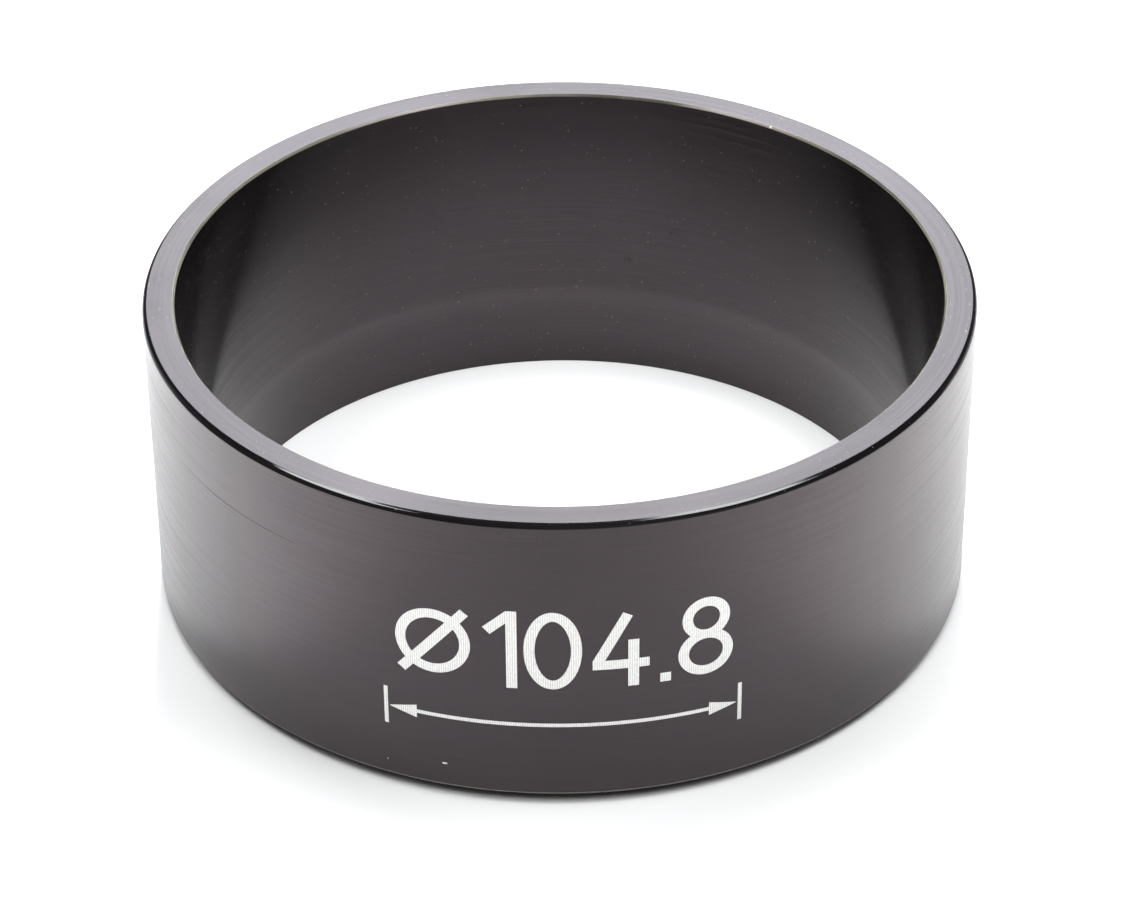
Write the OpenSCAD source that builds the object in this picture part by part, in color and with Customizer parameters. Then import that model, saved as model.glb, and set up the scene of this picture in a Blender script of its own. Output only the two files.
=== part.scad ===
// Tapered piston ring compressor
// One ring turned from aluminium bar. A piston with its rings goes in at the wide mouth,
// the taper closes the rings, and the straight land hands them over to the cylinder.
// Sizes are in millimetres. +Z is up, and the origin is the middle of the foot face.

/* [Bore] */
// Diameter of the straight land, the size of the cylinder that it serves
bore_d = 104.775; // [60:0.005:140]
// Height above the foot at which land and taper would meet without their blend
land_h = 13.6; // [6:0.1:26]
// Radius of the blend that eases the rings from the taper into the land
blend_r = 12; // [2:0.5:40]

/* [Walls] */
// Height from the foot face to the top rim
height = 47.6; // [30:0.1:90]
// Wall thickness round the land
foot_wall = 7.9375; // [5.5:0.0125:16]
// Wall thickness at the upper end of the taper
rim_wall = 4.7; // [2.5:0.05:7]

/* [Edges] */
// Radius of the round outside the top rim
rim_round = 0.8; // [0.2:0.05:1.6]
// Width of the 45 degree chamfer round the foot
foot_chamfer = 2.0; // [0.4:0.1:4]
// Width of the 45 degree break on the mouth's edge
mouth_break = 0.3; // [0.1:0.05:0.8]

/* [Hidden] */
$fn = 96;
bore_r = bore_d / 2;
outer_r = bore_r + foot_wall;
// Radius of the taper at its upper end
mouth_r = outer_r - rim_wall;
// Height of the taper's upper end
mouth_z = height - mouth_break;
// Lean of the taper from the axis
taper_a = atan2(mouth_r - bore_r, mouth_z - land_h);
// Share of that lean left as a slight corner at each end of the blend
corner_share = 0.2;
// Angle at which the blend's arc crosses the land and the taper
cross_a = taper_a * corner_share;
// Distance of the arc's centre from the land and from the taper
blend_off = blend_r * cos(cross_a);
// Centre of the arc, inside the metal
blend_c = [bore_r + blend_off, land_h - blend_off * tan(taper_a / 2)];
// Centre of the rim's round
rim_c = [outer_r - rim_round, height - rim_round];
// Reach of what is trimmed off a corner past the wall, into the open
waste_over = 1;
wedge_r = blend_r + waste_over;

// Half section of the ring, with the rim's outer corner and the one between land and taper left sharp
module sharp_section() {
    polygon([
        [bore_r, 0],
        [outer_r - foot_chamfer, 0],
        [outer_r, foot_chamfer],
        [outer_r, height],
        [mouth_r + mouth_break, height],
        [mouth_r, mouth_z],
        [bore_r, land_h]
    ]);
}

// What the round takes off the rim's outer corner
module rim_waste() {
    difference() {
        translate(rim_c) square(rim_round + waste_over);
        translate(rim_c) circle(r = rim_round);
    }
}

// What the blend takes off the corner between land and taper
module blend_waste() {
    difference() {
        polygon([
            blend_c,
            blend_c + [-wedge_r, 0],
            blend_c + [-wedge_r, wedge_r * tan(taper_a / 2)],
            blend_c + wedge_r * [-cos(taper_a), sin(taper_a)]
        ]);
        translate(blend_c) circle(r = blend_r);
    }
}

// The whole ring, black anodised after turning
module sleeve() {
    color([0.09, 0.085, 0.09])
    rotate_extrude()
    difference() {
        sharp_section();
        rim_waste();
        blend_waste();
    }
}

sleeve();
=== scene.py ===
"""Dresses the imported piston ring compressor: its finish, its size mark, the table and the studio."""
import math

import bpy
import numpy as np
from mathutils import Matrix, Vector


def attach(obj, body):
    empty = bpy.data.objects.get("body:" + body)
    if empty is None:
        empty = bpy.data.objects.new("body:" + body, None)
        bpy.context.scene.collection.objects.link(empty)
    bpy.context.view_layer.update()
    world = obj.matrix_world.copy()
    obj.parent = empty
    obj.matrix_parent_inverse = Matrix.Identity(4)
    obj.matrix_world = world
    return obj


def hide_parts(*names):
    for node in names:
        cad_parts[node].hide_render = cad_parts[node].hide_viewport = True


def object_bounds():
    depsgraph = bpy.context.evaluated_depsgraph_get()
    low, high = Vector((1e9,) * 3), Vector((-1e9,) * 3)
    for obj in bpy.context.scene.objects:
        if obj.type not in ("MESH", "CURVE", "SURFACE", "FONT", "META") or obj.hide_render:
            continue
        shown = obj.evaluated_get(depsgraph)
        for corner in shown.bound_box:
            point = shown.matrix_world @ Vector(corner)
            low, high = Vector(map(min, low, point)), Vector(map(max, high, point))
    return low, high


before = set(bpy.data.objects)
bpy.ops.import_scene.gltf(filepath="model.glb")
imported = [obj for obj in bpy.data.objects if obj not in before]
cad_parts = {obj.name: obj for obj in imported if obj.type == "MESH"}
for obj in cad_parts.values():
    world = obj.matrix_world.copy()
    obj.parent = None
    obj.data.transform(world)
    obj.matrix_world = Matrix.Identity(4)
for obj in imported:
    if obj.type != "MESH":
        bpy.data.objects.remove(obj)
cad_low, cad_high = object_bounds()


# Sleeve
# One ring turned from aluminium bar, then black anodised. Its bore tapers from a wide mouth to a land.
# The lathe leaves fine lines round every face, deburring rounds the edges, and dust has settled in the bore.

MM = 0.001
outer_radius = cad_high.x
height = cad_high.z
land_radius = 52.3875 * MM
land_height = 13.6 * MM
mouth_radius = outer_radius - 4.7 * MM
foot_chamfer = 2.0 * MM
mouth_break = 0.3 * MM
rim_edge = 0.66 * MM
rim_crown = 0.245 * MM


def rounded_profile(corners, radii, steps=12):
    """Closed outline with an arc in each corner, as points and outward normals.

    At a corner the arc of radius r touches both sides at r times the tangent of half the turn.
    The arc's points lie on a circle about its centre, and its normals point away from that centre.
    """
    points, normals = [], []
    count = len(corners)
    for i in range(count):
        before = corners[i] - corners[i - 1]
        after = corners[(i + 1) % count] - corners[i]
        before /= np.linalg.norm(before)
        after /= np.linalg.norm(after)
        turn = math.atan2(before[0] * after[1] - before[1] * after[0], before @ after)
        first = np.array([before[1], -before[0]])
        side = math.copysign(1.0, turn)
        start = corners[i] - before * radii[i] * math.tan(abs(turn) / 2)
        centre = start - first * radii[i] * side
        angle = np.linspace(0.0, turn, steps)
        cos, sin = np.cos(angle), np.sin(angle)
        normal = np.stack([first[0] * cos - first[1] * sin, first[0] * sin + first[1] * cos], 1)
        points.append(centre + normal * radii[i] * side)
        normals.append(normal)
    return np.concatenate(points), np.concatenate(normals)


def turned_mesh(name, points, normals, segments):
    """Mesh of a closed outline turned about the Z axis.

    Column k lies at angle 2 pi k / segments, and row j at the outline's point j, so each
    vertex is (r cos a, r sin a, z). The UV is the angle in turns and the length along the outline.
    """
    rows = len(points)
    angle = np.linspace(0.0, 2.0 * np.pi, segments, endpoint=False)
    cos, sin = np.cos(angle)[:, None], np.sin(angle)[:, None]
    flat = np.ones_like(cos)
    vertices = np.stack([cos * points[:, 0], sin * points[:, 0], flat * points[:, 1]], 2)
    vertex_normals = np.stack([cos * normals[:, 0], sin * normals[:, 0], flat * normals[:, 1]], 2)
    column, row = np.meshgrid(np.arange(segments), np.arange(rows), indexing="ij")
    next_column, next_row = (column + 1) % segments, (row + 1) % rows
    quads = np.stack([column * rows + row, next_column * rows + row,
                      next_column * rows + next_row, column * rows + next_row], 2).reshape(-1, 4)
    mesh = bpy.data.meshes.new(name)
    mesh.from_pydata(vertices.reshape(-1, 3), [], quads)
    mesh.polygons.foreach_set("use_smooth", np.ones(len(quads), bool))
    mesh.normals_split_custom_set_from_vertices(vertex_normals.reshape(-1, 3))
    step = np.linalg.norm(np.diff(np.vstack([points, points[:1]]), axis=0), axis=1)
    along = np.concatenate([[0.0], np.cumsum(step)])
    u = np.stack([column, column + 1, column + 1, column], 2) / segments
    v = along[np.stack([row, row, row + 1, row + 1], 2)]
    uv = mesh.uv_layers.new(name="turned")
    uv.data.foreach_set("uv", np.stack([u, v], 3).astype(np.float32).ravel())
    mesh.update()
    return mesh


outline = np.array([
    [outer_radius - foot_chamfer, 0.0],
    [outer_radius, foot_chamfer],
    [outer_radius, height - rim_edge],
    [outer_radius - rim_crown, height - rim_crown],
    [outer_radius - rim_edge, height],
    [mouth_radius + mouth_break, height],
    [mouth_radius, height - mouth_break],
    [land_radius, land_height],
    [land_radius, 0.0],
])
edge_radii = np.array([0.15, 0.4, 0.45, 0.7, 0.2, 0.12, 0.12, 12.0, 0.1]) * MM
sleeve_mesh = turned_mesh("sleeve_turned", *rounded_profile(outline, edge_radii), segments=480)
sleeve = bpy.data.objects.new("sleeve_turned", sleeve_mesh)
bpy.context.collection.objects.link(sleeve)


def add_node(tree, kind, inputs, **settings):
    """New shader node with its settings, and with each input linked to a socket or given a value."""
    node = tree.nodes.new(kind)
    for name, value in settings.items():
        setattr(node, name, value)
    for name, value in inputs.items():
        if isinstance(value, bpy.types.NodeSocket):
            tree.links.new(value, node.inputs[name])
        else:
            node.inputs[name].default_value = value
    return node


def maths(tree, operation, *values):
    """Output of a Math node that works on the values given."""
    return add_node(tree, "ShaderNodeMath", dict(enumerate(values)), operation=operation).outputs["Value"]


def ramp(tree, value, start, stop, low=0.0, high=1.0):
    """Value eased from low at the start to high at the stop, and level outside them."""
    inputs = {"Value": value, "From Min": start, "From Max": stop, "To Min": low, "To Max": high}
    return add_node(tree, "ShaderNodeMapRange", inputs, interpolation_type="SMOOTHSTEP").outputs["Result"]


def tint(tree, mask, under, over):
    """Colour that goes from one to another as the mask goes from 0 to 1."""
    mix = add_node(tree, "ShaderNodeMix", {"Factor": mask}, data_type="RGBA")
    for socket, value in ((mix.inputs[6], under), (mix.inputs[7], over)):
        if isinstance(value, bpy.types.NodeSocket):
            tree.links.new(value, socket)
        else:
            socket.default_value = value
    return mix.outputs[2]


# The angle round the axis, nought at the front, for both of the ring's materials
front_turn = bpy.data.node_groups.new("turn_from_front", "ShaderNodeTree")
front_turn.interface.new_socket("Spot", in_out="INPUT", socket_type="NodeSocketVector")
front_turn.interface.new_socket("Turn", in_out="OUTPUT", socket_type="NodeSocketFloat")
group_spot = add_node(front_turn, "NodeGroupInput", {}).outputs["Spot"]
group_axes = add_node(front_turn, "ShaderNodeSeparateXYZ", {"Vector": group_spot}).outputs
towards_front = maths(front_turn, "MULTIPLY", group_axes["Y"], -1.0)
group_turn = maths(front_turn, "ARCTAN2", group_axes["X"], towards_front)
add_node(front_turn, "NodeGroupOutput", {"Turn": group_turn})

anodised = bpy.data.materials.new("black_anodised")
anodised.use_nodes = True
tree = anodised.node_tree
shader = tree.nodes["Principled BSDF"]
shader.inputs["IOR"].default_value = 1.55
shader.inputs["Coat Weight"].default_value = 0.13
shader.inputs["Coat Roughness"].default_value = 0.13
shader.inputs["Anisotropic"].default_value = 1.0
shader.inputs["Anisotropic Rotation"].default_value = 0.25
tangent = add_node(tree, "ShaderNodeTangent", {}, direction_type="UV_MAP", uv_map="turned")
tree.links.new(tangent.outputs["Tangent"], shader.inputs["Tangent"])

spot = add_node(tree, "ShaderNodeTexCoord", {}).outputs["Object"]
axes = add_node(tree, "ShaderNodeSeparateXYZ", {"Vector": spot}).outputs
turned_uv = add_node(tree, "ShaderNodeUVMap", {}, uv_map="turned").outputs["UV"]
along = add_node(tree, "ShaderNodeSeparateXYZ", {"Vector": turned_uv}).outputs["Y"]


def lathe_lines(length, spacing, detail):
    """Noise drawn out round the axis: its grains are a length long and a spacing apart along the outline."""
    stretch = (1 / length, 1 / length, 0.0)
    around = add_node(tree, "ShaderNodeVectorMath", {0: spot, 1: stretch}, operation="MULTIPLY")
    across = add_node(tree, "ShaderNodeCombineXYZ", {"Z": maths(tree, "DIVIDE", along, spacing)})
    parts = {0: around.outputs[0], 1: across.outputs[0]}
    both = add_node(tree, "ShaderNodeVectorMath", parts, operation="ADD")
    inputs = {"Vector": both.outputs[0], "Scale": 1.0, "Detail": detail, "Roughness": 0.6}
    return add_node(tree, "ShaderNodeTexNoise", inputs).outputs["Fac"]


fine_lines = lathe_lines(40 * MM, 0.3 * MM, 2.0)
broad_lines = lathe_lines(70 * MM, 2.2 * MM, 3.0)
smears = add_node(tree, "ShaderNodeTexNoise", {"Vector": spot, "Scale": 55.0, "Detail": 3.0}).outputs["Fac"]

# A score line from handling runs part of the way round, a little below the rim
score_height = 36.35 * MM
score_from, score_to = math.radians(-66), math.radians(-29)
score_fade_in, score_fade_out = 0.15, 0.45
score_core, score_edge = 0.04 * MM, 0.12 * MM
score_strength = 0.55
wall_margin = 0.1 * MM
facing = add_node(tree, "ShaderNodeGroup", {"Spot": spot}, node_tree=front_turn).outputs["Turn"]
off_score = maths(tree, "ABSOLUTE", maths(tree, "SUBTRACT", axes["Z"], score_height))
level = add_node(tree, "ShaderNodeVectorMath", {0: spot, 1: (1.0, 1.0, 0.0)}, operation="MULTIPLY")
radius = add_node(tree, "ShaderNodeVectorMath", {0: level.outputs[0]}, operation="LENGTH").outputs["Value"]
outside = maths(tree, "GREATER_THAN", radius, outer_radius - wall_margin)
score = ramp(tree, off_score, score_edge, score_core, 0.0, score_strength)
score = maths(tree, "MULTIPLY", score, ramp(tree, facing, score_from, score_from + score_fade_in))
score = maths(tree, "MULTIPLY", score, ramp(tree, facing, score_to, score_to - score_fade_out))
score = maths(tree, "MULTIPLY", score, outside)

# Dust lies as small pale specks, more of it in the bore than outside
grain_cell = 0.95 * MM
bore_grain, wall_grain = 0.085 * MM, 0.02 * MM
grain_blur = 0.06 * MM
grains = add_node(tree, "ShaderNodeTexVoronoi", {"Vector": spot, "Scale": 1 / grain_cell}, feature="F1")
grain_size = ramp(tree, outside, 0.0, 1.0, bore_grain / grain_cell, wall_grain / grain_cell)
grain_tone = add_node(tree, "ShaderNodeSeparateXYZ", {"Vector": grains.outputs["Color"]}).outputs["X"]
dust = maths(tree, "SUBTRACT", grain_size, grains.outputs["Distance"])
dust = ramp(tree, dust, 0.0, grain_blur / grain_cell)
dust = maths(tree, "MULTIPLY", dust, ramp(tree, grain_tone, 0.2, 1.0, 0.2, 1.0))


def blots(places):
    """Mask of round blots, each given by its turn from the front in degrees, radius, height and size."""
    mask = 0.0
    for blot_turn, blot_radius, blot_height, blot_size in places:
        bearing = math.radians(blot_turn)
        middle = (blot_radius * math.sin(bearing), -blot_radius * math.cos(bearing), blot_height)
        away = add_node(tree, "ShaderNodeVectorMath", {0: spot, 1: middle}, operation="DISTANCE")
        blot = ramp(tree, away.outputs["Value"], blot_size, 0.5 * blot_size)
        mask = maths(tree, "MAXIMUM", blot, mask)
    return mask


# Chips lay the metal bare at the mouth's edge and low on the front, and a touch has left grease in the bore
long_chip = [(chip_turn, outer_radius, 5.7 * MM, 0.19 * MM) for chip_turn in (-16.0, -15.8, -15.6)]
chips = blots([
    (144.0, mouth_radius, height, 0.34 * MM),
    *long_chip,
    (-23.9, outer_radius, 4.3 * MM, 0.11 * MM),
])
grease = blots([
    (168.0, land_radius + 0.6 * MM, 19.8 * MM, 1.0 * MM),
    (163.0, land_radius + 0.9 * MM, 22.6 * MM, 0.7 * MM),
    (160.5, land_radius + 0.9 * MM, 25.2 * MM, 0.6 * MM),
])
patches = add_node(tree, "ShaderNodeTexNoise", {"Vector": spot, "Scale": 900.0}).outputs["Fac"]
grease = maths(tree, "MULTIPLY", grease, ramp(tree, patches, 0.35, 0.65))

# A deburring stone has left the rim's outer edge smoother than the rest
rim_margin = 0.005 * MM
at_rim = maths(tree, "GREATER_THAN", axes["Z"], height - rim_edge)
below_rim = maths(tree, "LESS_THAN", axes["Z"], height - rim_margin)
on_edge = maths(tree, "MULTIPLY", maths(tree, "MULTIPLY", at_rim, below_rim),
                maths(tree, "GREATER_THAN", radius, outer_radius - rim_edge))

# The finish has worn thin along the edge of the mouth. The pale line along the upper edge of the foot's
# chamfer is a painted highlight, where that edge catches light
mouth_margin = 0.05 * MM
wear_below = 0.12 * MM
line_core, line_edge = 0.08 * MM, 0.16 * MM
worn_full = height - mouth_break
at_mouth = maths(tree, "LESS_THAN", radius, mouth_radius + mouth_break + mouth_margin)
mouth_wear_and_foot_highlight = maths(tree, "MULTIPLY", at_mouth, ramp(tree, axes["Z"], worn_full - wear_below, worn_full))
mouth_wear_and_foot_highlight = maths(tree, "MULTIPLY", mouth_wear_and_foot_highlight, ramp(tree, smears, 0.3, 0.6, 0.35, 1.0))
# Painted highlight: a pale line along the upper edge of the foot's chamfer
off_foot_edge = maths(tree, "ABSOLUTE", maths(tree, "SUBTRACT", axes["Z"], foot_chamfer))
painted_foot_highlight = maths(tree, "MULTIPLY", ramp(tree, off_foot_edge, line_edge, line_core), outside)
mouth_wear_and_foot_highlight = maths(tree, "MAXIMUM", mouth_wear_and_foot_highlight, painted_foot_highlight)

# A paler band painted on the land, just below where the taper hands over to it, is a painted reflection of
# the lit table
reflection_top, reflection_most, reflection_end = -1.6 * MM, 0.2 * MM, 4.5 * MM
bore_margin = 1.0 * MM
below_land_top = maths(tree, "SUBTRACT", land_height, axes["Z"])
painted_land_reflection = ramp(tree, below_land_top, reflection_top, reflection_most)
painted_land_reflection = maths(tree, "MULTIPLY", painted_land_reflection, ramp(tree, below_land_top, reflection_end, reflection_most))
painted_land_reflection = maths(tree, "MULTIPLY", painted_land_reflection, maths(tree, "LESS_THAN", radius, land_radius + bore_margin))

dye = (0.0012, 0.0008, 0.0009, 1.0)
line_grey = (0.0100, 0.0080, 0.0085, 1.0)
land_reflection_grey = (0.0130, 0.0115, 0.0120, 1.0)
dust_grey = (0.42, 0.40, 0.35, 1.0)
pale_wear_and_highlight = (0.15, 0.14, 0.11, 1.0)
bare_metal = (0.75, 0.74, 0.71, 1.0)
score_black = (0.0, 0.0, 0.0, 1.0)
colour = tint(tree, ramp(tree, fine_lines, 0.45, 0.75), dye, line_grey)
# Painted reflection: the land is paler just below the taper
colour = tint(tree, painted_land_reflection, colour, land_reflection_grey)
colour = tint(tree, score, colour, score_black)
# Pale wear at the mouth, and the painted highlight along the foot's chamfer edge
colour = tint(tree, mouth_wear_and_foot_highlight, colour, pale_wear_and_highlight)
colour = tint(tree, dust, colour, dust_grey)
colour = tint(tree, chips, colour, bare_metal)
tree.links.new(colour, shader.inputs["Base Color"])
dyed_sheen, edge_sheen = (1.0, 0.83, 0.90, 1.0), (1.0, 1.0, 1.0, 1.0)
tree.links.new(tint(tree, on_edge, dyed_sheen, edge_sheen), shader.inputs["Specular Tint"])
edge_polish = 0.35
dirt_dullness, grease_dullness = 0.5, 0.12
rough = ramp(tree, fine_lines, 0.3, 0.7, 0.18, 0.24)
rough = maths(tree, "MULTIPLY", rough, ramp(tree, on_edge, 0.0, 1.0, 1.0, edge_polish))
rough = maths(tree, "ADD", rough, ramp(tree, smears, 0.5, 0.75, 0.0, 0.03))
dirt = maths(tree, "MAXIMUM", dust, score)
rough = maths(tree, "ADD", rough, maths(tree, "MULTIPLY", dirt, dirt_dullness))
rough = maths(tree, "ADD", rough, maths(tree, "MULTIPLY", grease, grease_dullness))
tree.links.new(rough, shader.inputs["Roughness"])
line_depth = 0.0012 * MM
broad_share, bore_share = 0.35, 0.45
relief = maths(tree, "ADD", fine_lines, maths(tree, "MULTIPLY", broad_lines, broad_share))
relief = maths(tree, "MULTIPLY", relief, ramp(tree, outside, 0.0, 1.0, bore_share, 1.0))
bump = add_node(tree, "ShaderNodeBump", {"Height": relief, "Strength": 1.0, "Distance": line_depth})
tree.links.new(bump.outputs["Normal"], shader.inputs["Normal"])
sleeve_mesh.materials.append(anodised)

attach(sleeve, "root")
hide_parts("sleeve")


# Size mark
# The diameter of the bore in plain figures over a dimension line, as on a drawing.
# A laser burns the black finish off in upright lines, which leaves pale bare metal flush with the wall.

figure_height = 11.5 * MM
figure_foot = 21.0 * MM
stroke_width = 1.5 * MM
figure_gap = 2.4 * MM
dimension_height = 14.0 * MM
dimension_half = 24.5 * MM
rule_width = 0.6 * MM
arrow_length = 3.8 * MM
arrow_width = 2.2 * MM
arrow_tip = 0.1 * MM
arrow_overlap = 0.2 * MM
stop_gap = 0.6 * MM
stop_reach = 3.2 * MM
mark_proud = 0.006 * MM
mark_depth = 0.03 * MM
crossing_lift = 0.002 * MM


def straight(start, stop):
    """Points along a straight stroke, close enough together to follow the round wall."""
    share = np.linspace(0.0, 1.0, 80)[:, None]
    return np.array(start) * (1 - share) + np.array(stop) * share


def bow(centre, half, start, stop):
    """Points along an arc of an ellipse, between two angles in degrees."""
    angle = np.radians(np.linspace(start, stop, 80))
    return np.array(centre) + np.array(half) * np.stack([np.cos(angle), np.sin(angle)], 1)


def burnt_stroke(points, widths, lift):
    """Thin closed ribbon along a flat path, wrapped round the wall.

    At each point the ribbon reaches half its width to both sides of the path. A flat point (s, z) goes to
    (r sin(s / R), -r cos(s / R), z), where R is the wall's radius and r is just outside it for the
    ribbon's face and just inside it for the back. The lift keeps faces apart where strokes cross.
    A path that ends where it starts becomes a loop, and any other one gets a cap at each end.
    """
    loop = np.allclose(points[0], points[-1])
    if loop:
        points, widths = points[:-1], widths[:-1]
        heading = np.roll(points, -1, axis=0) - np.roll(points, 1, axis=0)
    else:
        heading = np.gradient(points, axis=0)
    heading /= np.linalg.norm(heading, axis=1)[:, None]
    across = np.stack([-heading[:, 1], heading[:, 0]], 1) * (widths / 2)[:, None]
    sides = np.stack([points - across, points + across, points + across, points - across], 1)
    face = outer_radius + mark_proud + lift
    reach = np.array([face, face, face - mark_depth, face - mark_depth])
    turn = sides[:, :, 0] / outer_radius
    ring = np.stack([reach * np.sin(turn), -reach * np.cos(turn), sides[:, :, 1]], 2)
    count = len(points)
    this = np.arange(count if loop else count - 1)[:, None] * 4
    following = (this + 4) % (4 * count)
    corner = np.arange(4)[None, :]
    after = (corner + 1) % 4
    quads = np.stack([this + corner, this + after, following + after, following + corner], 2).reshape(-1, 4)
    if not loop:
        last = 4 * (count - 1)
        caps = np.array([[3, 2, 1, 0], [last, last + 1, last + 2, last + 3]])
        quads = np.concatenate([quads, caps])
    return ring.reshape(-1, 3), quads


# Figures are drawn one unit high between the middles of their strokes, each with its width and its strokes
figures = {
    "diameter": (0.90, [bow((0.45, 0.5), (0.40, 0.40), 0, 360), straight((0.05, 0.02), (0.85, 0.98))]),
    "1": (0.30, [straight((0.30, 1.065), (0.30, -0.065)), straight((0.275, 1.014), (0.0, 0.76))]),
    "0": (0.56, [bow((0.28, 0.5), (0.28, 0.5), 90, 450)]),
    "4": (0.64, [straight((0.40, 1.0), (0.038, 0.305)), straight((-0.02, 0.27), (0.66, 0.27)),
                 straight((0.47, 0.62), (0.47, -0.065))]),
    "point": (0.02, [straight((0.01, -0.065), (0.01, 0.065))]),
    "8": (0.56, [bow((0.28, 0.765), (0.235, 0.235), -90, 270), bow((0.28, 0.265), (0.28, 0.265), 90, 450)]),
}
spelling = ["diameter", "1", "0", "4", "point", "8"]
total = sum(figures[sign][0] for sign in spelling) * figure_height + figure_gap * (len(spelling) - 1)
strokes = []
left = -total / 2
for sign in spelling:
    width, lines = figures[sign]
    for order, line in enumerate(lines):
        path = line * figure_height + np.array([left, figure_foot])
        strokes.append(burnt_stroke(path, np.full(len(path), stroke_width), order * crossing_lift))
    left += width * figure_height + figure_gap
neck = dimension_half - arrow_length
rule = straight((-neck, dimension_height), (neck, dimension_height))
strokes.append(burnt_stroke(rule, np.full(len(rule), rule_width), 0.0))
for side in (-1, 1):
    arrow_foot = side * (neck - arrow_overlap)
    arrow = straight((arrow_foot, dimension_height), (side * dimension_half, dimension_height))
    strokes.append(burnt_stroke(arrow, np.linspace(arrow_width, arrow_tip, len(arrow)), crossing_lift))
    stop_at = side * (dimension_half + stop_gap)
    stop = straight((stop_at, dimension_height - stop_reach), (stop_at, dimension_height + stop_reach))
    strokes.append(burnt_stroke(stop, np.full(len(stop), rule_width), 0.0))
starts = np.cumsum([0] + [len(points) for points, _ in strokes])
mark_mesh = bpy.data.meshes.new("size_mark")
mark_mesh.from_pydata(np.concatenate([points for points, _ in strokes]), [],
                      np.concatenate([quads + start for (_, quads), start in zip(strokes, starts)]))
mark_mesh.update()
mark = bpy.data.objects.new("size_mark", mark_mesh)
bpy.context.collection.objects.link(mark)

burnt = bpy.data.materials.new("laser_burnt")
burnt.use_nodes = True
burnt_tree = burnt.node_tree
pale = burnt_tree.nodes["Principled BSDF"]
pale.inputs["Metallic"].default_value = 1.0
burnt_spot = add_node(burnt_tree, "ShaderNodeTexCoord", {}).outputs["Object"]
burnt_group = add_node(burnt_tree, "ShaderNodeGroup", {"Spot": burnt_spot}, node_tree=front_turn)
burnt_turn = burnt_group.outputs["Turn"]
line_pitch = 0.32 * MM
line_share = 0.3
grit_depth = 0.004 * MM
passes = maths(burnt_tree, "MULTIPLY", burnt_turn, 2 * math.pi * outer_radius / line_pitch)
upright = maths(burnt_tree, "SINE", passes)
fleck_inputs = {"Vector": burnt_spot, "Scale": 2500.0, "Detail": 2.0}
flecks = add_node(burnt_tree, "ShaderNodeTexNoise", fleck_inputs).outputs["Fac"]
uneven = maths(burnt_tree, "ADD", maths(burnt_tree, "MULTIPLY", upright, line_share), flecks)
duller, brighter = (0.55, 0.55, 0.53, 1.0), (0.80, 0.80, 0.78, 1.0)
burnt_colour = tint(burnt_tree, ramp(burnt_tree, uneven, 0.1, 0.8), duller, brighter)
burnt_tree.links.new(burnt_colour, pale.inputs["Base Color"])
burnt_tree.links.new(ramp(burnt_tree, flecks, 0.3, 0.7, 0.38, 0.5), pale.inputs["Roughness"])
grit = add_node(burnt_tree, "ShaderNodeBump", {"Height": uneven, "Strength": 1.0, "Distance": grit_depth})
burnt_tree.links.new(grit.outputs["Normal"], pale.inputs["Normal"])
mark_mesh.materials.append(burnt)

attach(mark, "root")


# Table
# A plain white table top under the ring. It is part of the studio.
# Further off it turns into an even white background, which the ring mirrors as well.

table_mesh = bpy.data.meshes.new("table")
half_table = 6.0
near_reach, far_reach = 140 * MM, 300 * MM
table_white = (0.85, 0.85, 0.85, 1.0)
table_mesh.from_pydata([(-half_table, -half_table, 0), (half_table, -half_table, 0),
                        (half_table, half_table, 0), (-half_table, half_table, 0)], [], [(0, 1, 2, 3)])
table = bpy.data.objects.new("table", table_mesh)
bpy.context.collection.objects.link(table)
white = bpy.data.materials.new("white_table")
white.use_nodes = True
top = white.node_tree
top.nodes.remove(top.nodes["Principled BSDF"])
table_spot = add_node(top, "ShaderNodeTexCoord", {}).outputs["Object"]
from_axis = add_node(top, "ShaderNodeVectorMath", {0: table_spot}, operation="LENGTH").outputs["Value"]
far_off = ramp(top, from_axis, near_reach, far_reach)
ray = add_node(top, "ShaderNodeLightPath", {}).outputs
looked_at = maths(top, "MAXIMUM", ray["Is Camera Ray"], maths(top, "MAXIMUM", ray["Is Glossy Ray"],
                                                             ray["Is Transmission Ray"]))
near_top = add_node(top, "ShaderNodeBsdfDiffuse", {"Color": table_white})
far_top = add_node(top, "ShaderNodeEmission", {"Color": (1.0, 1.0, 1.0, 1.0), "Strength": 1.0})
share = maths(top, "MULTIPLY", far_off, looked_at)
surfaces = {0: share, 1: near_top.outputs["BSDF"], 2: far_top.outputs["Emission"]}
table_mix = add_node(top, "ShaderNodeMixShader", surfaces)
top.links.new(table_mix.outputs["Shader"], top.nodes["Material Output"].inputs["Surface"])
table_mesh.materials.append(white)


# Studio
# A large and a small soft box on each side shine on the ring's edges, and a panel behind it on its rim.
# Two boxes with honeycomb grids light the table beside the ring from behind, and one from above the camera.


def soft_box(name, where, aim, size, radiance, spread=180.0, mirrored=True, colour=(1.0, 1.0, 1.0)):
    """Rectangular area light, turned towards the aim, whose grid narrows its beam to the spread in degrees.

    The radiance is the one along the beam's axis. A grid of half angle h dims a ray at angle a by
    1 - tan a / tan h, and the lamp's power is kept, which brightens the axis by tan h / (tan h - h).
    """
    half = math.radians(spread / 2)
    gain = math.tan(half) / (math.tan(half) - half)
    light = bpy.data.lights.new(name, "AREA")
    light.shape = "RECTANGLE"
    light.size, light.size_y = size
    light.spread = 2 * half
    light.color = colour
    light.energy = radiance / gain * math.pi * size[0] * size[1]
    box = bpy.data.objects.new(name, light)
    box.location = where
    box.visible_glossy = mirrored
    direction = np.array(aim) - np.array(where)
    direction /= np.linalg.norm(direction)
    yaw = math.atan2(direction[1], direction[0]) - math.pi / 2
    tilt = math.acos(-direction[2])
    box.rotation_euler = (tilt, 0.0, yaw)
    bpy.context.collection.objects.link(box)


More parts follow.
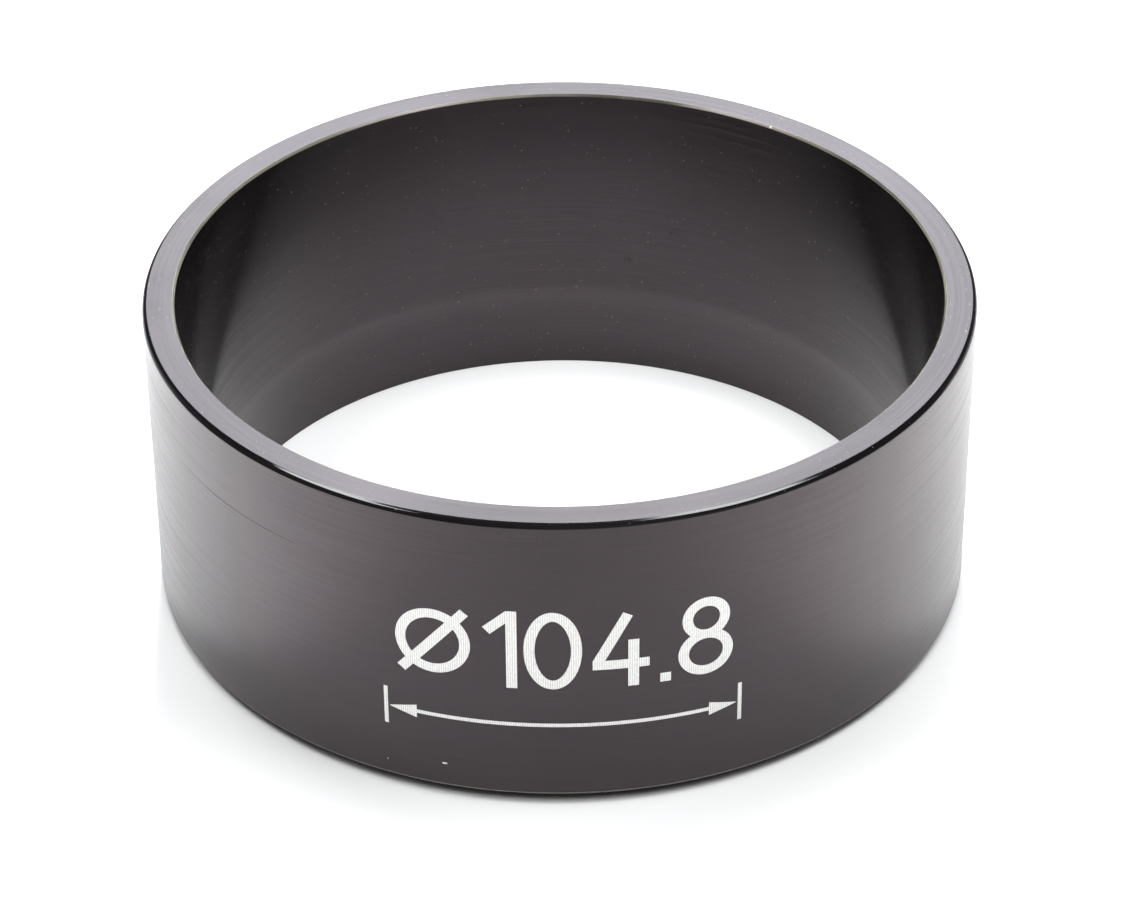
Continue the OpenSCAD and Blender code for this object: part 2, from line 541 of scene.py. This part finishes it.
cool = (0.985, 1.0, 1.01)
ring_middle = (0.0, 0.0, 0.02)
soft_box("left_box", (-0.345, -0.05, 0.6), ring_middle, (0.34, 0.126), 11.5, colour=cool)
soft_box("right_box", (0.272, -0.095, 0.59), ring_middle, (0.25, 0.26), 10.8, colour=cool)
soft_box("left_edge_box", (-0.19, 0.2, 0.62), ring_middle, (0.14, 0.1), 26.0, colour=cool)
soft_box("right_edge_box", (0.08, 0.16, 0.62), ring_middle, (0.2, 0.1), 20.0, colour=cool)
soft_box("left_table_box", (-0.05, 0.62, 0.46), (-0.16, -0.01, 0.0), (0.1, 0.2), 560.0,
         spread=25.0, mirrored=False)
soft_box("right_table_box", (0.05, 0.62, 0.46), (0.16, -0.01, 0.0), (0.1, 0.2), 460.0,
         spread=25.0, mirrored=False, colour=(1.03, 1.0, 0.965))
soft_box("top_box", (0.0, -0.4, 0.72), (0.0, -0.02, 0.0), (0.5, 0.36), 8.5, spread=60.0, mirrored=False)
soft_box("back_panel", (0.0, 1.0, 0.8), ring_middle, (0.56, 0.8), 5.7, colour=(0.96, 1.01, 1.06))

world = bpy.data.worlds.new("studio")
world.use_nodes = True
bpy.context.scene.world = world
room = world.node_tree.nodes["Background"]
room.inputs["Color"].default_value = (0.12, 0.12, 0.12, 1.0)

bpy.context.scene.view_settings.view_transform = "Standard"


# Camera
# A long lens in front of the ring and above it, found by fitting the ring's edges to the photograph.

image_width = 1125
focal_pixels = 3921.26
viewpoint = (0.0, -0.48169, 0.349075)
lens = bpy.data.cameras.new("camera")
lens.sensor_width = 36.0
lens.lens = focal_pixels / image_width * lens.sensor_width
camera = bpy.data.objects.new("camera", lens)
down = math.radians(34.475)
right_turn = math.radians(0.030)
roll = math.radians(-0.444)
turn = Matrix.Rotation(-right_turn, 4, "Z") @ Matrix.Rotation(math.pi / 2 - down, 4, "X")
camera.matrix_world = Matrix.Translation(viewpoint) @ turn @ Matrix.Rotation(roll, 4, "Z")
bpy.context.collection.objects.link(camera)
bpy.context.scene.camera = camera
